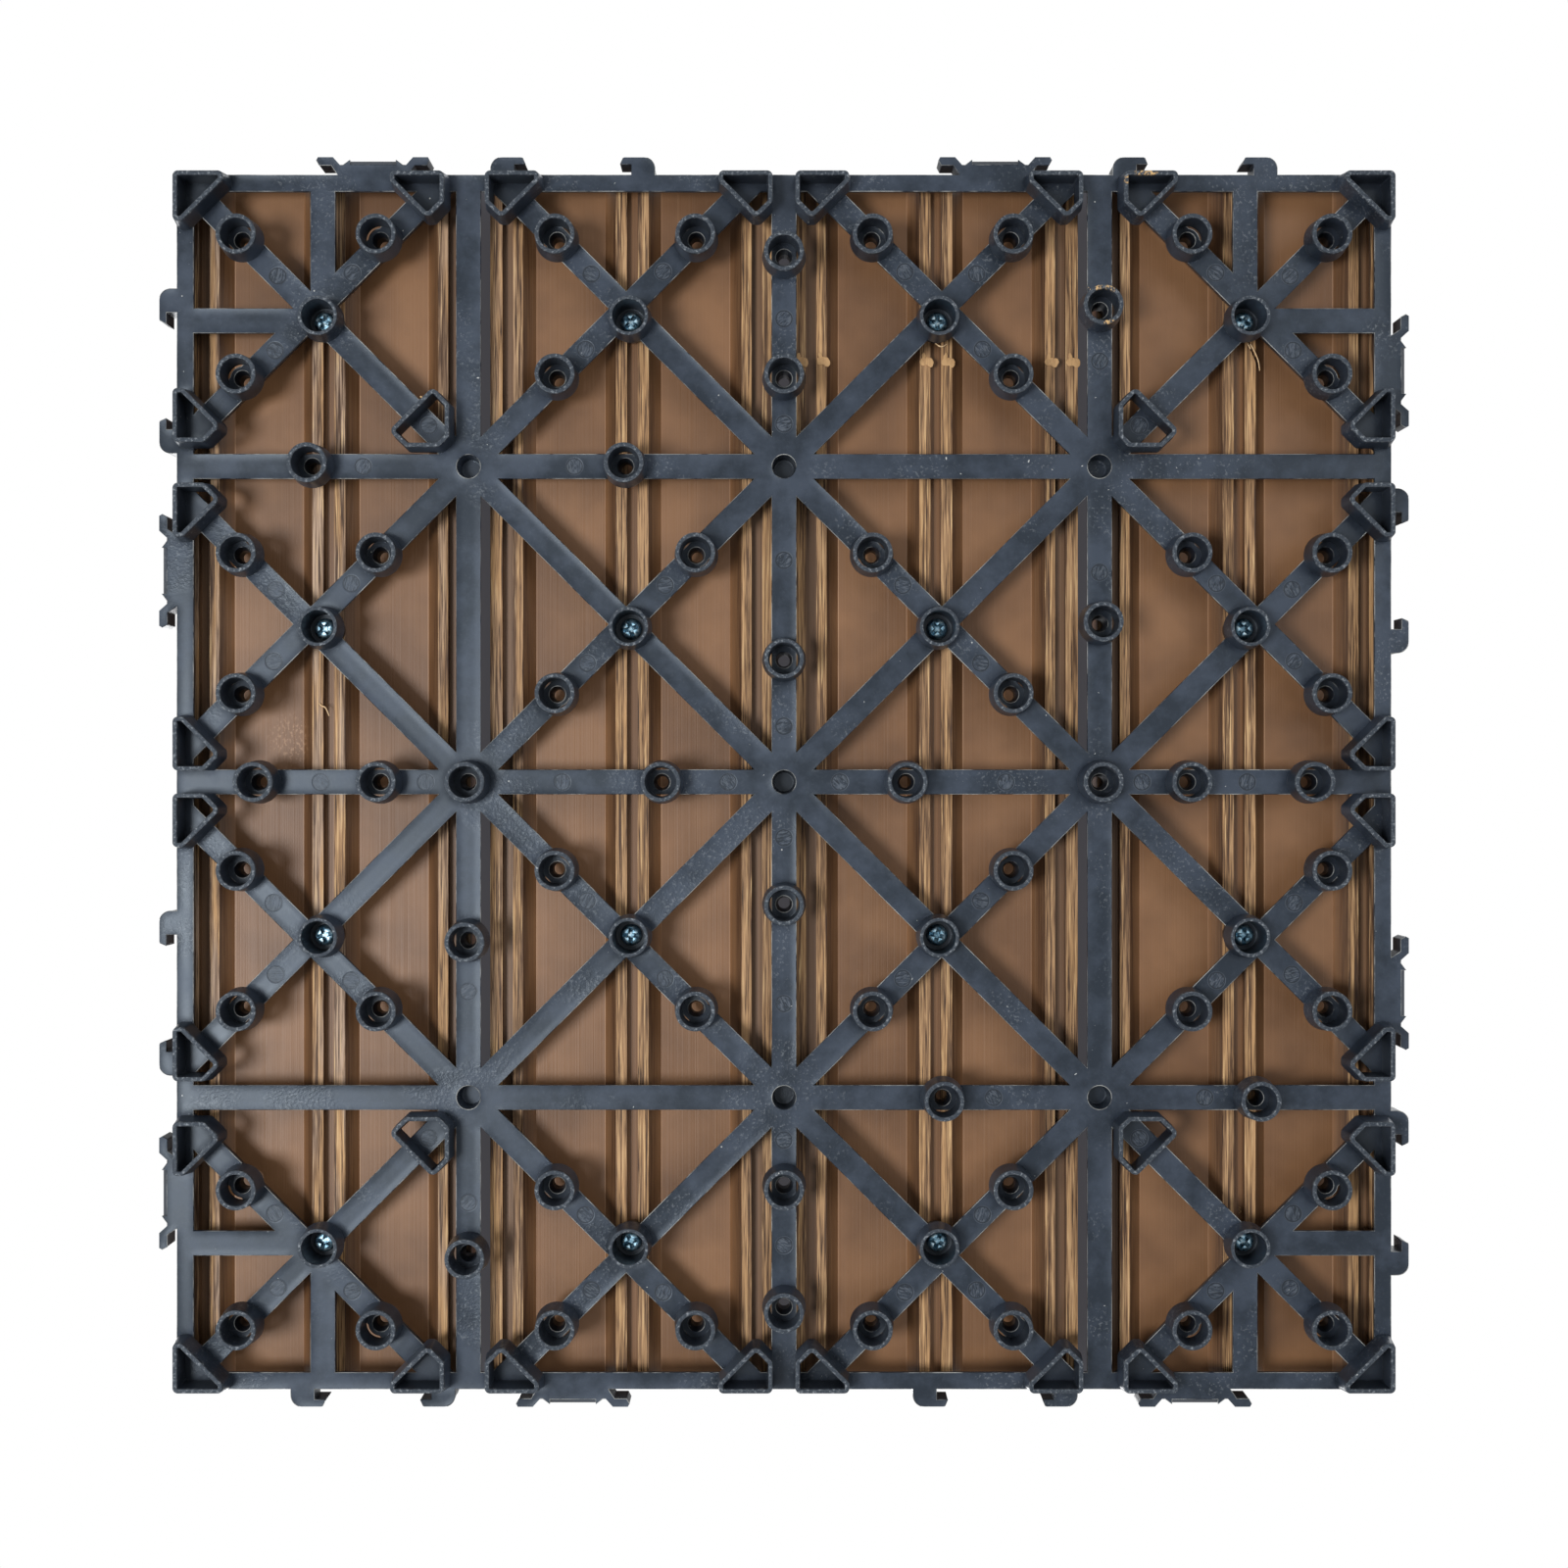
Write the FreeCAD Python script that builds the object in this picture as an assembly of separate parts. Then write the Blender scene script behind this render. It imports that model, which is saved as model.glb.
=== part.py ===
import FreeCAD
import Part
import itertools
import math
import os

# Interlocking deck tile: a moulded base grid, four deck slats and the screws that hold them.
# Millimetres. The tile stands on its feet at z = 0, walking face up, with the slats along Y.

# Slats
slat_count = 4
slat_pitch = 76.0
slat_gap = 4.85
slat_thickness = 10.0
slat_end_inset = 1.0          # slat ends sit back from the frame's outer face
slat_top_radius = 1.2
outer_leg = 3.05              # widths of the ridges and grooves under a slat, from its side inwards
outer_groove = 2.65
inner_leg = 2.5
channel_slope = 2.95
channel_depth = 3.0
groove_depth = 2.2
centre_groove_half = 1.35
centre_leg_half = 4.1
centre_slope = 2.9

# Base grid, moulded in one piece
foot_height = 6.0             # hollow feet and pegs below the grid
grid_depth = 6.0              # depth of every bar of the grid
slat_margin = 0.425           # frame stands out past the outer slats
frame_bar = 4.0
frame_top_width = 2.0         # frame bar and ribs narrow from their lower lip up to the slats
frame_corner_radius = 1.5
rib_width = 6.0
rib_top_width = 3.0
rib_lip = 1.0
rib_shift = 2.0               # a side rib stands this far out from the middle of its slat gap
corner_diagonal_shift = 4.5   # the diagonal across a corner boss passes this far outside it, in x + y

# Screw bosses
boss_rim_lift = 0.6           # boss rims stop short of the ground
boss_rim_d = 9.6
boss_base_d = 10.8
boss_tower_d = 10.4           # above the parting face
boss_top_d = 8.4
boss_bore_d = 8.0
boss_bore_floor_d = 7.6
boss_floor = 3.0
boss_hole_clearance = 0.4     # round a screw's shank, across

# Screws
head_d = 5.2
head_height = 1.9
head_edge = 0.7
head_crown = 0.55             # the head's flat middle, as a share of its width
head_shoulder = 0.88          # a point on the head's round, as a share of its radius and of its rise
head_shoulder_rise = 0.4
shank_d = 3.5
screw_length = 10.0
screw_tip = 2.4
cross_span = 4.3
cross_width = 1.15
cross_floor_span = 1.5
cross_floor_width = 0.6
cross_depth = 1.4
tip_clearance = 0.4           # the pilot hole is this much deeper than the screw's tip
cut_over = 1.0                # cutting shapes reach this far past the face that they open
cross_turns = (               # how each head was left turned, degrees, seen from below
    (19, 40, 0, 25),
    (45, -15, 45, 42),
    (-14, 0, 13, 3),
    (15, -20, 20, 38),
)

# Hollow pegs on the ribs
peg_rim_d = 9.7
peg_base_d = 10.8
peg_bore_d = 7.8
peg_bore_base_d = 7.0
peg_hole_d = 2.9
peg_sink_d = 4.2
peg_sink_depth = 2.5
peg_collar_d = 6.0            # round the hole, up through the rib
peg_collar_top_d = 4.6
peg_after_rib = 21.65         # from a rib's centre line, on the rib's outer side
peg_before_rib = 22.0         # the same, on the inner side of a side rib
peg_frame_inset = 16.2        # from the frame's outer face
middle_peg_near = 30.15       # pegs along the two middle ribs
middle_peg_frame_inset = 20.35
side_peg_near = 39.15         # pegs along the side ribs
side_peg_frame_inset = 33.5

# Blind sockets where ribs cross
socket_d = 6.0
socket_floor_d = 5.0
socket_depth = 5.0

# Hollow feet
foot_wall = 1.0
foot_draft = 0.6              # free outer sides lean out by this much from rim to grid
foot_frame_draft = 0.85       # the side that ends flush with the frame's outer face
foot_inner_draft = 0.3
foot_round = 1.3
foot_inner_round = 0.2
foot_rib_gap = 1.4            # clear of the side ribs
middle_foot_lap = 0.2         # feet at a middle rib reach this far onto it
side_foot_width = 13.1
side_foot_depth = 10.9
side_foot_leg = 15.6          # legs of the triangle that a foot is trimmed from
side_foot_chamfer = 3.3
corner_foot_width = 12.1
corner_foot_leg = 14.3
inner_foot_width = 14.0
inner_foot_leg = 18.6
inner_foot_nose = 2.5
inner_foot_tip_run = 3.5
inner_foot_tip_drop = 3.3
inner_foot_rib_gap = 0.4
inner_foot_draft = 0.35

# Edge clips: on each edge a tab and a hook pair near the middle, and a hook pair and a tab further out
clip_near = 52.2
clip_spacing = 49.4
tab_plate_half = 5.7
tab_plate_reach = 3.75
tab_plate_chamfer = 1.2
clip_root = 1.5               # clips start this deep inside the frame bar
tab_root_half = 8.7
tab_neck = 2.45
tab_ear_in = 10.3
tab_ear_root = 13.3
tab_ear_tip = 14.0
tab_ear_reach = 4.45
tab_ear_taper = 0.4           # an ear is this much shorter at its free side
tab_web_half = 7.4
tab_web_step = 0.6            # from the plate's root to the inner end of the neck
tab_root_flare = (0.3, 0.5)   # the little slope at the plate's root, along and out
hook_inner = 14.5
hook_outer = 20.3
hook_tip = 11.7
hook_tip_slant = 0.8
hook_arm_in = 2.7
hook_reach = 4.4
hook_round = 2.8
hook_tip_round = 0.5

# Levels and lines that follow from the sizes above
face_z = foot_height
top_z = foot_height + grid_depth
boss_floor_z = top_z - boss_floor
screw_tip_z = boss_floor_z + screw_length
boss_hole_d = shank_d + boss_hole_clearance
slat_width = slat_pitch - slat_gap
slats_half = (slat_count * slat_pitch - slat_gap) / 2
half = slats_half + slat_margin
rib_line = slat_pitch + rib_shift
boss_far = slat_pitch * 3 / 2
corner_diagonal = 2 * boss_far + corner_diagonal_shift
clip_far = clip_near + clip_spacing
slat_length = 2 * (half - slat_end_inset)
QUARTERS = (0, 90, 180, 270)
Z_AXIS = FreeCAD.Vector(0, 0, 1)
ORIGIN = FreeCAD.Vector(0, 0, 0)


def turned(shape, degrees):
    """A copy of the shape turned about the tile's middle."""
    copy = shape.copy()
    copy.rotate(ORIGIN, Z_AXIS, degrees)
    return copy


def moved(shape, x, y, z=0):
    """A copy of the shape moved by x, y and z."""
    copy = shape.copy()
    copy.translate(FreeCAD.Vector(x, y, z))
    return copy


def mirrored(shape):
    """The shape mirrored left to right."""
    return shape.mirror(ORIGIN, FreeCAD.Vector(1, 0, 0))


def shifted(points, distances):
    """An anticlockwise outline with edge i, from point i to the next, moved outwards by distances[i]."""
    count = len(points)
    lines = []
    for i in range(count):
        x0, y0 = points[i]
        x1, y1 = points[(i + 1) % count]
        length = math.hypot(x1 - x0, y1 - y0)
        nx, ny = (y1 - y0) / length, (x0 - x1) / length
        lines.append((nx, ny, nx * x0 + ny * y0 + distances[i]))
    result = []
    for i in range(count):
        ax, ay, a = lines[i - 1]
        bx, by, b = lines[i]
        det = ax * by - ay * bx
        result.append(((a * by - ay * b) / det, (ax * b - a * bx) / det))
    return result


def outline(points, z, radii):
    """A closed wire at height z. Corner i is rounded to radii[i], as far as its edges allow."""
    longest_cut = 0.48        # of an edge, so that two rounds never meet
    count = len(points)
    corners = [FreeCAD.Vector(x, y, z) for x, y in points]
    ends = []
    for i in range(count):
        corner = corners[i]
        back = corners[i - 1] - corner
        ahead = corners[(i + 1) % count] - corner
        half_turn = (math.pi - back.getAngle(ahead)) / 2
        room = longest_cut * min(back.Length, ahead.Length)
        cut = min(radii[i] * math.tan(half_turn), room)
        back.normalize()
        ahead.normalize()
        start = corner + back * cut
        end = corner + ahead * cut
        if cut > 0:
            radius = cut / math.tan(half_turn)
            inward = back + ahead
            inward.normalize()
            middle = corner + inward * (radius / math.cos(half_turn) - radius)
        else:
            middle = None
        ends.append((start, middle, end))
    edges = []
    for i in range(count):
        start, middle, end = ends[i]
        if middle is not None:
            edges.append(Part.Arc(start, middle, end).toShape())
        following = ends[(i + 1) % count][0]
        edges.append(Part.LineSegment(end, following).toShape())
    return Part.Wire(edges)


def prism(points, z, height, radius=0.0, radii=None):
    """An outline drawn up from z by height."""
    if radii is None:
        radii = [radius] * len(points)
    return Part.Face(outline(points, z, radii)).extrude(FreeCAD.Vector(0, 0, height))


def bar(start, end):
    """A straight rib of the grid from one point to another, narrower towards the slats."""
    dx, dy = end[0] - start[0], end[1] - start[1]
    side, top_side = rib_width / 2, rib_top_width / 2
    lip_z = face_z + rib_lip
    section = Part.makePolygon([
        FreeCAD.Vector(0, -side, face_z),
        FreeCAD.Vector(0, side, face_z),
        FreeCAD.Vector(0, side, lip_z),
        FreeCAD.Vector(0, top_side, top_z),
        FreeCAD.Vector(0, -top_side, top_z),
        FreeCAD.Vector(0, -side, lip_z),
        FreeCAD.Vector(0, -side, face_z),
    ])
    solid = Part.Face(section).extrude(FreeCAD.Vector(math.hypot(dx, dy), 0, 0))
    solid.rotate(ORIGIN, Z_AXIS, math.degrees(math.atan2(dy, dx)))
    solid.translate(FreeCAD.Vector(start[0], start[1], 0))
    return solid


def disc(x, y, low_z, low_d, high_z, high_d):
    """A round solid about an upright line, straight or tapered."""
    place = FreeCAD.Vector(x, y, low_z)
    if low_d == high_d:
        return Part.makeCylinder(low_d / 2, high_z - low_z, place)
    return Part.makeCone(low_d / 2, high_d / 2, high_z - low_z, place)


# Places of the bosses, pegs and sockets

def cell_pegs():
    """The pegs round each boss: one in each corner of its cell but the one nearest the tile's middle.
    The four inner cells have none in their outer corner either."""
    near_lines = (peg_after_rib, rib_line - peg_before_rib)
    far_lines = (rib_line + peg_after_rib, half - peg_frame_inset)
    inner_outer = (0, 1)
    for far_x, far_y, out_x, out_y in itertools.product(inner_outer, repeat=4):
        nearest = not out_x and not out_y
        inner_cell_outer_corner = out_x and out_y and not far_x and not far_y
        if nearest or inner_cell_outer_corner:
            continue
        x = (far_lines if far_x else near_lines)[out_x]
        y = (far_lines if far_y else near_lines)[out_y]
        for sx, sy in itertools.product((-1, 1), repeat=2):
            yield sx * x, sy * y


def line_of(number):
    """The middle line of a slat, and of a row or column of bosses, counted from the low end."""
    return (number - (slat_count - 1) / 2) * slat_pitch


def boss_places():
    lines = [line_of(number) for number in range(slat_count)]
    return list(itertools.product(lines, repeat=2))


def peg_places():
    """Every hollow peg: in the cells, along the middle ribs, along the side ribs, on two crossings."""
    places = list(cell_pegs())
    along_middle = (middle_peg_near, rib_line + peg_after_rib, half - middle_peg_frame_inset)
    for distance in along_middle:
        for sign in (-1, 1):
            places.append((sign * distance, 0.0))
            places.append((0.0, sign * distance))
    for distance in (side_peg_near, half - side_peg_frame_inset):
        places.append((-rib_line, distance))
        places.append((rib_line, -distance))
        places.append((distance, rib_line))
        places.append((-distance, -rib_line))
    places.append((rib_line, 0.0))
    places.append((-rib_line, 0.0))
    return places


def socket_places():
    """Rib crossings that hold a blind socket."""
    for x in (-rib_line, 0.0, rib_line):
        for y in (-rib_line, 0.0, rib_line):
            if y != 0.0 or x == 0.0:
                yield x, y


# Feet. Each outline is drawn from its right-angled corner, with x and y along its two straight sides.

def hollow_foot(points, drafts):
    """An open-bottomed foot: its rim outline is given, and its sides lean out to the grid by drafts."""
    count = len(points)
    rim = outline(points, 0, [foot_round] * count)
    base = outline(shifted(points, drafts), face_z, [foot_round] * count)
    inner_rim = outline(shifted(points, [-foot_wall] * count), 0, [foot_inner_round] * count)
    inset = -foot_wall - foot_inner_draft
    inner_base = outline(shifted(points, [inset] * count), face_z, [foot_inner_round] * count)
    shell = Part.makeLoft([rim, base], True, True)
    cavity = Part.makeLoft([inner_rim, inner_base], True, True)
    return shell.cut(cavity)


def side_foot(rib_draft):
    """A foot beside a rib, against the frame. x runs along the frame, y in from it."""
    hypotenuse_x = side_foot_leg - side_foot_depth
    points = [
        (0, 0),
        (side_foot_width, 0),
        (side_foot_width, side_foot_leg - side_foot_width),
        (hypotenuse_x, side_foot_depth),
        (side_foot_chamfer, side_foot_depth),
        (0, side_foot_depth - side_foot_chamfer),
    ]
    drafts = [foot_frame_draft, foot_draft, foot_draft, foot_draft, foot_draft, rib_draft]
    return hollow_foot(points, drafts)


def corner_foot():
    """The foot in the tile's corner, flush with both outer faces."""
    points = [
        (0, 0),
        (corner_foot_width, 0),
        (corner_foot_width, corner_foot_leg - corner_foot_width),
        (corner_foot_leg - corner_foot_width, corner_foot_width),
        (0, corner_foot_width),
    ]
    drafts = [foot_frame_draft, foot_draft, foot_draft, foot_draft, foot_frame_draft]
    return hollow_foot(points, drafts)


def inner_foot():
    """The foot beside the crossing of two side ribs."""
    tip = inner_foot_width - inner_foot_tip_run
    slant = inner_foot_leg - inner_foot_width
    points = [
        (inner_foot_nose, 0),
        (tip, 0),
        (inner_foot_width, inner_foot_tip_drop),
        (inner_foot_width, slant),
        (slant, inner_foot_width),
        (inner_foot_tip_drop, inner_foot_width),
        (0, tip),
        (0, inner_foot_nose),
    ]
    return hollow_foot(points, [inner_foot_draft] * len(points))


def feet():
    """All feet of the tile, as separate hollow solids."""
    solids = []
    for centre in (-rib_line, 0.0, rib_line):
        gap = foot_rib_gap if centre else -middle_foot_lap
        draft = foot_draft if centre else 0.0
        foot = side_foot(draft)
        start = rib_width / 2 + gap + draft
        right = moved(foot, centre + start, foot_frame_draft - half)
        left = moved(mirrored(foot), centre - start, foot_frame_draft - half)
        for quarter in QUARTERS:
            solids.append(turned(right, quarter))
            solids.append(turned(left, quarter))
    corner = moved(corner_foot(), foot_frame_draft - half, foot_frame_draft - half)
    inner_start = rib_line + rib_width / 2 + inner_foot_rib_gap + inner_foot_draft
    inner = moved(inner_foot(), inner_start, inner_start)
    for quarter in QUARTERS:
        solids.append(turned(corner, quarter))
        solids.append(turned(inner, quarter))
    return solids


# Clips. Both are drawn on the +Y edge about x = 0, with y measured out from the frame's outer face.

def tab():
    """The tab that a neighbour's hooks close on: a chamfered plate with an ear on a neck at each end."""
    flare_along, flare_out = tab_root_flare
    right = [
        (tab_root_half, 0),
        (tab_root_half + flare_along, flare_out),
        (tab_ear_in, tab_neck),
        (tab_ear_root, tab_neck),
        (tab_ear_tip, tab_plate_reach),
        (tab_ear_tip - tab_ear_taper, tab_ear_reach),
        (tab_ear_in - tab_ear_taper, tab_ear_reach),
        (tab_root_half - tab_web_step, tab_neck),
        (tab_web_half, tab_neck),
        (tab_plate_half, tab_plate_reach),
    ]
    left = [(-x, y) for x, y in reversed(right)]
    points = [(-tab_root_half, -clip_root), (tab_root_half, -clip_root)] + right + left
    solid = prism(points, face_z, grid_depth)
    edge = FreeCAD.Vector(-tab_plate_half, tab_plate_reach, face_z)
    wedge = Part.makePolygon([
        edge,
        edge + FreeCAD.Vector(0, -tab_plate_chamfer, 0),
        edge + FreeCAD.Vector(0, 0, tab_plate_chamfer),
        edge,
    ])
    chamfer = Part.Face(wedge).extrude(FreeCAD.Vector(2 * tab_plate_half, 0, 0))
    return solid.cut(chamfer)


def hook():
    """One hook of a pair, its arm reaching back towards the middle of the pair."""
    points = [
        (hook_inner, -clip_root),
        (hook_outer, -clip_root),
        (hook_outer, hook_reach),
        (hook_tip + hook_tip_slant, hook_reach),
        (hook_tip, hook_arm_in),
        (hook_inner, hook_arm_in),
    ]
    return prism(points, face_z, grid_depth, radii=[0, 0, hook_round, hook_tip_round, 0, 0])


def clips():
    """Every tab and hook, the same on all four edges by quarter turns."""
    hook_pair = [hook(), mirrored(hook())]
    edge = [moved(tab(), clip_far, half), moved(tab(), -clip_near, half)]
    for single in hook_pair:
        edge.append(moved(single, clip_near, half))
        edge.append(moved(single, -clip_far, half))
    return [turned(solid, quarter) for quarter in QUARTERS for solid in edge]


# Base grid

def square(side_half):
    """The corners of a square about the tile's middle."""
    return [(-side_half, -side_half), (side_half, -side_half), (side_half, side_half), (-side_half, side_half)]


def frame_block():
    """The tile's outline, as deep as the grid."""
    return prism(square(half), face_z, grid_depth, radius=frame_corner_radius)


def frame_ring():
    """The square bar round the edge, upright outside and narrower towards the slats inside."""
    lip = prism(square(half - frame_bar), face_z, rib_lip)
    low = outline(square(half - frame_bar), face_z + rib_lip, [0] * 4)
    high = outline(square(half - frame_top_width), top_z, [0] * 4)
    return frame_block().cut(lip).cut(Part.makeLoft([low, high], True, True))


def grid_bars():
    """Ribs, straight diagonals and the short ribs from the corner bosses to the frame."""
    runs = []
    for line in (-rib_line, 0.0, rib_line):
        runs.append(((line, -half), (line, half)))
        runs.append(((-half, line), (half, line)))
    for offset in (-2 * rib_line, -rib_line, 0.0, rib_line, 2 * rib_line):
        low, high = max(-half, offset - half), min(half, offset + half)
        runs.append(((low, low - offset), (high, high - offset)))
        runs.append(((low, offset - low), (high, offset - high)))
    for sx, sy in itertools.product((-1, 1), repeat=2):
        short = corner_diagonal - half
        runs.append(((sx * half, sy * short), (sx * short, sy * half)))
        runs.append(((sx * boss_far, sy * boss_far), (sx * half, sy * boss_far)))
        runs.append(((sx * boss_far, sy * boss_far), (sx * boss_far, sy * half)))
    block = frame_block()
    return [bar(start, end).common(block) for start, end in runs]


def base_grid():
    """The moulded base: grid, feet, pegs, bosses, sockets and clips in one piece."""
    solids = [frame_ring()] + grid_bars() + clips() + feet()
    cuts = []
    for x, y in boss_places():
        solids.append(disc(x, y, boss_rim_lift, boss_rim_d, face_z, boss_base_d))
        solids.append(disc(x, y, face_z, boss_tower_d, top_z, boss_top_d))
        cuts.append(disc(x, y, boss_rim_lift, boss_bore_d, boss_floor_z, boss_bore_floor_d))
        cuts.append(disc(x, y, boss_floor_z, boss_hole_d, top_z, boss_hole_d))
    for x, y in peg_places():
        tube = disc(x, y, 0, peg_rim_d, face_z, peg_base_d)
        solids.append(tube.cut(disc(x, y, 0, peg_bore_d, face_z, peg_bore_base_d)))
        solids.append(disc(x, y, face_z, peg_collar_d, top_z, peg_collar_top_d))
        sink_z = face_z + peg_sink_depth
        cuts.append(disc(x, y, face_z, peg_sink_d, sink_z, peg_hole_d))
        cuts.append(disc(x, y, sink_z, peg_hole_d, top_z, peg_hole_d))
    for x, y in socket_places():
        cuts.append(disc(x, y, face_z, socket_d, face_z + socket_depth, socket_floor_d))
    body = solids[0].multiFuse(solids[1:])
    return body.cut(Part.makeCompound(cuts)).removeSplitter()


# Slats and screws

def slat(x):
    """One deck slat, ridged underneath, with a pilot hole for each of its screws."""
    side = slat_width / 2
    groove_out = side - outer_leg
    leg_out = groove_out - outer_groove
    channel_out = leg_out - inner_leg
    floor_out = channel_out - channel_slope
    floor_in = centre_leg_half + centre_slope
    right = [
        (centre_groove_half, groove_depth),
        (centre_groove_half, 0),
        (centre_leg_half, 0),
        (floor_in, channel_depth),
        (floor_out, channel_depth),
        (channel_out, 0),
        (leg_out, 0),
        (leg_out, groove_depth),
        (groove_out, groove_depth),
        (groove_out, 0),
        (side, 0),
        (side, slat_thickness),
    ]
    left = [(-px, pz) for px, pz in reversed(right)]
    profile = right + left
    radii = [slat_top_radius if pz == slat_thickness else 0.0 for _, pz in profile]
    section = Part.Face(outline(profile, 0, radii))
    section.rotate(ORIGIN, FreeCAD.Vector(1, 0, 0), 90)
    section.translate(FreeCAD.Vector(x, slat_length / 2, top_z))
    solid = section.extrude(FreeCAD.Vector(0, -slat_length, 0))
    pilots = []
    for boss_x, boss_y in boss_places():
        if boss_x == x:
            pilot_end = screw_tip_z + tip_clearance
            pilots.append(disc(boss_x, boss_y, top_z - cut_over, shank_d, pilot_end, shank_d))
    return solid.cut(Part.makeCompound(pilots))


def cross_recess():
    """The tapered cross in a screw's head, driven from below."""
    arms = []
    low = boss_floor_z - head_height
    for turn in (0, 90):
        wires = []
        levels = ((low, cross_span, cross_width), (low + cross_depth, cross_floor_span, cross_floor_width))
        for z, span, width in levels:
            x, y = span / 2, width / 2
            wires.append(outline([(-x, -y), (x, -y), (x, y), (-x, y)], z, [0] * 4))
        arms.append(turned(Part.makeLoft(wires, True, True), turn))
    return arms[0].fuse(arms[1])


def screw(x, y, cross_turn):
    """A pan-head screw, head down in its boss and shank up into the slat."""
    low = boss_floor_z - head_height
    radius = head_d / 2
    crown = radius * head_crown
    start = FreeCAD.Vector(0, 0, low)
    rise = Part.Arc(
        FreeCAD.Vector(crown, 0, low),
        FreeCAD.Vector(radius * head_shoulder, 0, low + (head_height - head_edge) * head_shoulder_rise),
        FreeCAD.Vector(radius, 0, boss_floor_z - head_edge),
    ).toShape()
    corners = [
        FreeCAD.Vector(radius, 0, boss_floor_z - head_edge),
        FreeCAD.Vector(radius, 0, boss_floor_z),
        FreeCAD.Vector(shank_d / 2, 0, boss_floor_z),
        FreeCAD.Vector(shank_d / 2, 0, screw_tip_z - screw_tip),
        FreeCAD.Vector(0, 0, screw_tip_z),
        start,
    ]
    edges = [Part.LineSegment(start, FreeCAD.Vector(crown, 0, low)).toShape(), rise]
    for i in range(len(corners) - 1):
        edges.append(Part.LineSegment(corners[i], corners[i + 1]).toShape())
    body = Part.Face(Part.Wire(edges)).revolve(ORIGIN, Z_AXIS, 360)
    body = body.cut(cross_recess())
    return moved(turned(body, cross_turn), x, y)


def write(name, shape):
    """One STEP file for one piece. The piece has to be a single valid solid."""
    solid = shape.Solids[0] if len(shape.Solids) == 1 else shape
    print(name, len(shape.Solids), "solid", round(solid.Volume), "mm3", solid.isValid())
    solid.exportStep(os.path.join("parts", name + ".step"))


os.makedirs("parts", exist_ok=True)
write("base_grid", base_grid())
for number in range(slat_count):
    write("slat_%d" % (number + 1), slat(line_of(number)))
for row, column in itertools.product(range(slat_count), repeat=2):
    seen_row = slat_count - 1 - row
    seen_column = slat_count - 1 - column
    name = "screw_%d_%d" % (seen_row + 1, seen_column + 1)
    write(name, screw(line_of(column), line_of(row), cross_turns[seen_row][seen_column]))
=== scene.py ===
import math
import random
from itertools import product

import bmesh
import bpy
from mathutils import Matrix, Vector


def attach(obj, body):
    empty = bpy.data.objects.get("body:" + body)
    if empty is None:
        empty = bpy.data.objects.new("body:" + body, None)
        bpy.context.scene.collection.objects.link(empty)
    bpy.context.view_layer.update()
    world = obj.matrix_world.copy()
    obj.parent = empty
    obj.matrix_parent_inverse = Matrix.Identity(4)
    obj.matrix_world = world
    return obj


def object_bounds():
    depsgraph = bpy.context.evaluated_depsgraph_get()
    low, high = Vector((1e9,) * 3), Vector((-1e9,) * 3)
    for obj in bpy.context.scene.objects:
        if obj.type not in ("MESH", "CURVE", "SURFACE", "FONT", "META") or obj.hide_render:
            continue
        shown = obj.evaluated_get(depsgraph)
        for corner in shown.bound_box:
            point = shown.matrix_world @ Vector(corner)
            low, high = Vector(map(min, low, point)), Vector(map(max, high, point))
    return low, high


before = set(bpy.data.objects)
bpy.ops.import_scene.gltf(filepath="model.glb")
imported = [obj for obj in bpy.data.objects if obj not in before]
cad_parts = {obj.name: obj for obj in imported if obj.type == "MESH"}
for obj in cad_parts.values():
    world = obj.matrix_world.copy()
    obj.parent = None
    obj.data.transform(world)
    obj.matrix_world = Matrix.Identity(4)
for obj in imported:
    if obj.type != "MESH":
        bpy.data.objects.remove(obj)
cad_low, cad_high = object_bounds()


# The base grid
# A square lattice moulded in one shot of dark slate polypropylene. Its ribs' down faces are the mould's
# parting plane, dull and sunk a little between their edges. Feet, pegs and screw bosses stand below them.

face_z = 0.006
wall_top_z = 0.0088
rim_z = 0.0007
rib_line = 0.078
socket_reach = 0.0035
hollow_reach = 0.007
wall_shade_rise = 0.0003
light_edge_rise = 0.0005
parting_band = 0.00012
edge_radius = 0.0006
sink_radius = 0.003
sink_tilt = 0.3
plastic_dark = (30, 37, 47)
plastic_light = (54, 62, 75)
# the dark of painted shade in hollows, on walls and in recesses, and of the gouges on the ejector marks
shade_and_gouge_dark = (25, 28, 34)
plastic_edge = (112, 118, 125)
plastic_rim = (56, 62, 70)
plastic_chip = (140, 146, 152)
plastic_sheen = (228, 242, 255)
plastic_gloss = 0.42
dust_white = (206, 208, 205)
rim_sawdust = (214, 176, 120)
rim_heaps = (
    ((-0.0885, 0.1487, 0.0), 0.0032), ((-0.0839, 0.1470, 0.0), 0.0012), ((-0.0768, 0.1205, 0.0), 0.0011),
    ((-0.0796, 0.1204, 0.0), 0.0014), ((-0.0792, 0.1124, 0.0), 0.0016))


def linear(colour):
    """A screen colour, 0 to 255 a channel, as the linear colour that shaders take."""
    channels = [c / 255 for c in colour]
    return tuple(c / 12.92 if c < 0.0405 else ((c + 0.055) / 1.055) ** 2.4 for c in channels) + (1.0,)


def add(tree, kind, inputs=(), **settings):
    """A shader node with its settings, and its inputs set or linked by name or number."""
    made = tree.nodes.new("ShaderNode" + kind)
    for name, value in settings.items():
        setattr(made, name, value)
    for socket, value in dict(inputs).items():
        if isinstance(value, bpy.types.NodeSocket):
            tree.links.new(value, made.inputs[socket])
        else:
            made.inputs[socket].default_value = value
    return made


def calc(tree, operation, first, second=0.0, third=0.0):
    """A Math node's result."""
    return add(tree, "Math", {0: first, 1: second, 2: third}, operation=operation).outputs[0]


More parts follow.
